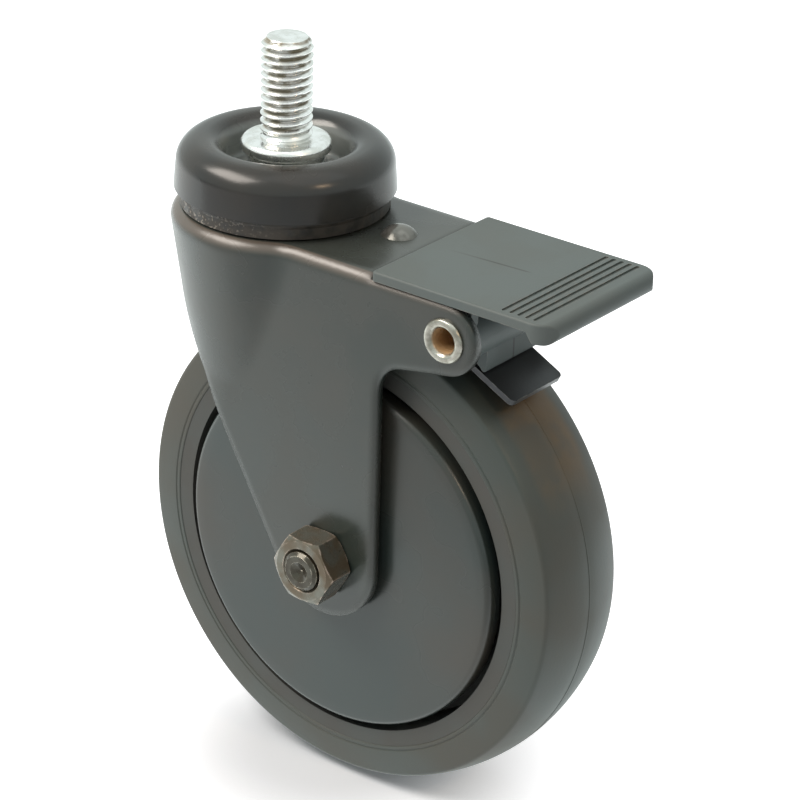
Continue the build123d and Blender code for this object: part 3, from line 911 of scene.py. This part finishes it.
coat(
    finish("rolled eyelet steel", ((0.46, 0.45, 0.4), (0.24, 0.23, 0.19)), (0.2, 0.36),
           metallic=0.85, patch_scale=300, marks=[(greasy_bore, (0.46, 0.3, 0.155))]),
    "brake_eyelet",
)

# %% [markdown]
# The tyre is matt rubber, with broad patches of a warmer black that are a painted warm reflection.
# Just below the leaf its tread is browner, a painted warm reflection on the tread under the leaf.
# That mark is blotchy and fades out all round. Lengths along the axle count less than half in it, so
# that it spans the width of the tread.

# %% Tyre rubber
below_leaf = axle_centre + Vector((0.72, 0, 0.69)) * wheel_radius * mm
across_reflection = (1.0, 0.4, 1.0)
reflection_from = 26.0
reflection_full = 6.0
faintest_reflection = 0.3
tread_from = wheel_radius - 1.6
tread_full = wheel_radius - 0.6


def painted_tread_reflection(tree):
    """1 on the tread just below the leaf, where a reflection is painted, 0 on the sides and
    elsewhere.
    """
    radius = place_group(tree, off_axis, Centre=tuple(axle_centre), Across=across_axle)
    away = place_group(tree, off_axis, Centre=tuple(below_leaf), Across=across_reflection)
    return where_all(
        tree,
        spread(tree, radius, tread_from * mm, tread_full * mm),
        spread(tree, away, reflection_from * mm, reflection_full * mm),
        spread(tree, place_group(tree, patches, Scale=70.0), 0, 1, faintest_reflection, 1),
    )


coat(
    finish("black rubber", ((0.058, 0.072, 0.065), (0.074, 0.071, 0.058)), (0.42, 0.54),
           patch_scale=22, grain_scale=1100, grain_depth=0.03, specular=0.45,
           marks=[(painted_tread_reflection, (0.15, 0.1, 0.05))]),
    "rubber_tyre",
)

# %% [markdown]
# The guards are black plastic, polished enough to mirror the room softly. Broad warm patches are a
# painted reflection: they stand for the brown cast that the room's reflections give them.

# %% Guard plastic
coat(
    finish("black guard", ((0.03, 0.045, 0.043), (0.05, 0.045, 0.036)), (0.24, 0.34),
           patch_scale=16, grain_scale=900, grain_depth=0.008),
    "far_thread_guard_disc", "near_thread_guard_disc",
)

# %% [markdown]
# The pedal is a paler, finely eroded plastic. Its top has one long crease, a dark line of painted
# shade that starts thin, runs a little askew to the pedal's length and fades out. A Mapping node lays
# its own x axis along the crease, so that x is the place along it and y is the distance from it.

# %% Pedal plastic
crease_start = Vector((47.6, -0.6))
crease_end = Vector((73.5, 1.1))
crease_width = 0.55
fades_in_by = 0.6
fades_out_from = 0.9


def painted_crease_shade(tree):
    """1 on the crease across the pedal's top, where its shade is painted."""
    run = crease_end - crease_start
    length = run.length * mm
    turn = tree.nodes.new("ShaderNodeMapping")
    turn.vector_type = "TEXTURE"
    turn.inputs["Location"].default_value = (*(crease_start * mm), 0)
    turn.inputs["Rotation"].default_value = (0, 0, math.atan2(run.y, run.x))
    tree.links.new(object_place(tree), turn.inputs["Vector"])
    parts = tree.nodes.new("ShaderNodeSeparateXYZ")
    tree.links.new(turn.outputs["Vector"], parts.inputs["Vector"])
    return where_all(
        tree,
        spread(tree, calculate(tree, "ABSOLUTE", parts.outputs["Y"], 0), crease_width * mm, 0.0),
        spread(tree, parts.outputs["X"], 0.0, length * fades_in_by),
        spread(tree, parts.outputs["X"], length, length * fades_out_from),
    )


coat(
    finish("grey moulded pedal", ((0.108, 0.134, 0.132), (0.12, 0.142, 0.138)), (0.48, 0.58),
           patch_scale=50, grain_scale=1800, grain_depth=0.03, specular=0.4,
           worn=(0.22, 0.22, 0.2), marks=[(painted_crease_shade, (0.06, 0.065, 0.06))]),
    "brake_pedal",
)

# %% [markdown]
# The studio is a white floor under a white sky. To the camera both are pure white, as in the
# photograph, and in reflections both are a little cool, while the light that falls on the castor
# stays at a plain level. The Light Path node tells which kind of ray is asking.

# %% What the camera and mirrors see
pure_white = (1.0, 1.0, 1.0)
cool_white = (0.91, 1.0, 0.98)


def white_to_the_eye(tree):
    """What the camera sees, and what mirrors and glass see, each 1 or 0."""
    path = tree.nodes.new("ShaderNodeLightPath")
    mirrored = calculate(
        tree, "MAXIMUM", path.outputs["Is Glossy Ray"], path.outputs["Is Transmission Ray"]
    )
    return path.outputs["Is Camera Ray"], mirrored


print("the camera sees", pure_white, "and mirrors see", cool_white)

# %% [markdown]
# Near the castor the floor takes most of its white from the lamps, so that the soft shadow under the
# wheel shows. In reflections it darkens towards the front, as a room does.

# %% Floor
floor_side = 8
floor_colour = (0.75, 0.8, 0.86)
floor_roughness = 0.9
floor_specular = 0.1
shadow_middle = (axle_centre.x - 8 * mm, -8 * mm, 0)
shadow_reach = 0.015
white_from = 0.07
shadow_glow = 0.08
front = (0.45, -0.89, 0.0)
dims_from = 0.09
dim_by = 0.165
dimmest = 0.2

bpy.ops.object.select_all(action="DESELECT")
bpy.ops.mesh.primitive_plane_add(size=floor_side, location=(0, 0, floor_height))
floor = bpy.context.object
floor.name = "floor"
floor_paint = bpy.data.materials.new("white floor")
floor_paint.use_nodes = True
tree = floor_paint.node_tree
shader = tree.nodes["Principled BSDF"]
shader.inputs["Base Color"].default_value = (*floor_colour, 1)
shader.inputs["Roughness"].default_value = floor_roughness
shader.inputs["Specular IOR Level"].default_value = floor_specular

seen, mirrored = white_to_the_eye(tree)
from_shadow = place_group(tree, off_axis, Centre=shadow_middle)
glow = spread(tree, from_shadow, shadow_reach, white_from, shadow_glow, 1.0)
towards_front = vector_step(tree, "DOT_PRODUCT", object_place(tree), front)
dimming = spread(tree, towards_front, dims_from, dim_by, 1.0, dimmest)
white = calculate(
    tree, "MAXIMUM", where_all(tree, glow, seen), where_all(tree, dimming, mirrored)
)
tree.links.new(white, shader.inputs["Emission Strength"])
white_colour = blend_colours(tree, mirrored, pure_white, cool_white)
tree.links.new(white_colour, shader.inputs["Emission Color"])
floor.data.materials.append(floor_paint)
print("floor at", round(floor_height / mm, 2), "mm, white from", white_from, "m off the shadow")

# %% [markdown]
# The sky uses the same two rays. Its strength is 1 for what the camera and mirrors see, and low for
# the light that it sheds on the castor.

# %% Sky
sky_light = 0.2
world = bpy.data.worlds.new("studio")
world.use_nodes = True
bpy.context.scene.world = world
tree = world.node_tree
sky = tree.nodes["Background"]
seen, mirrored = white_to_the_eye(tree)
white = calculate(tree, "MAXIMUM", seen, mirrored)
tree.links.new(spread(tree, white, 0, 1, sky_light, 1.0), sky.inputs["Strength"])
tree.links.new(blend_colours(tree, mirrored, pure_white, cool_white), sky.inputs["Color"])
print("the sky lights the castor at", sky_light)

# %% [markdown]
# A long strip lamp in front and above is the key. It draws the bright lines that the photograph has
# along the fork's fold, round the dust cap and on the guard's edge, and it lights the sides and the
# tops alike. A broad weak lamp overhead softens its shadows, and a small warm one at the right puts
# a few warm glints on the round edges.

# %% Lamps
lamp_target = Vector((30, 0, -60)) * mm


def soft_lamp(name, place, width, height, power, colour=(1, 1, 1)):
    """A rectangular lamp that faces the middle of the castor."""
    bpy.ops.object.light_add(type="AREA", location=Vector(place) * mm)
    lamp = bpy.context.object
    lamp.name = name
    lamp.data.shape = "RECTANGLE"
    lamp.data.size = width * mm
    lamp.data.size_y = height * mm
    lamp.data.energy = power
    lamp.data.color = colour
    lamp.rotation_euler = (Vector(place) * mm - lamp_target).to_track_quat("Z", "Y").to_euler()
    print(name, power, "W")


soft_lamp("front strip lamp", (-420, -520, 740), 760, 460, 11.0, (1.0, 0.92, 0.84))
soft_lamp("overhead lamp", (300, 0, 900), 900, 900, 1.2)
soft_lamp("small warm lamp", (780, -120, 520), 120, 120, 0.8, (1.0, 0.7, 0.44))
bpy.context.scene.view_settings.view_transform = "Standard"
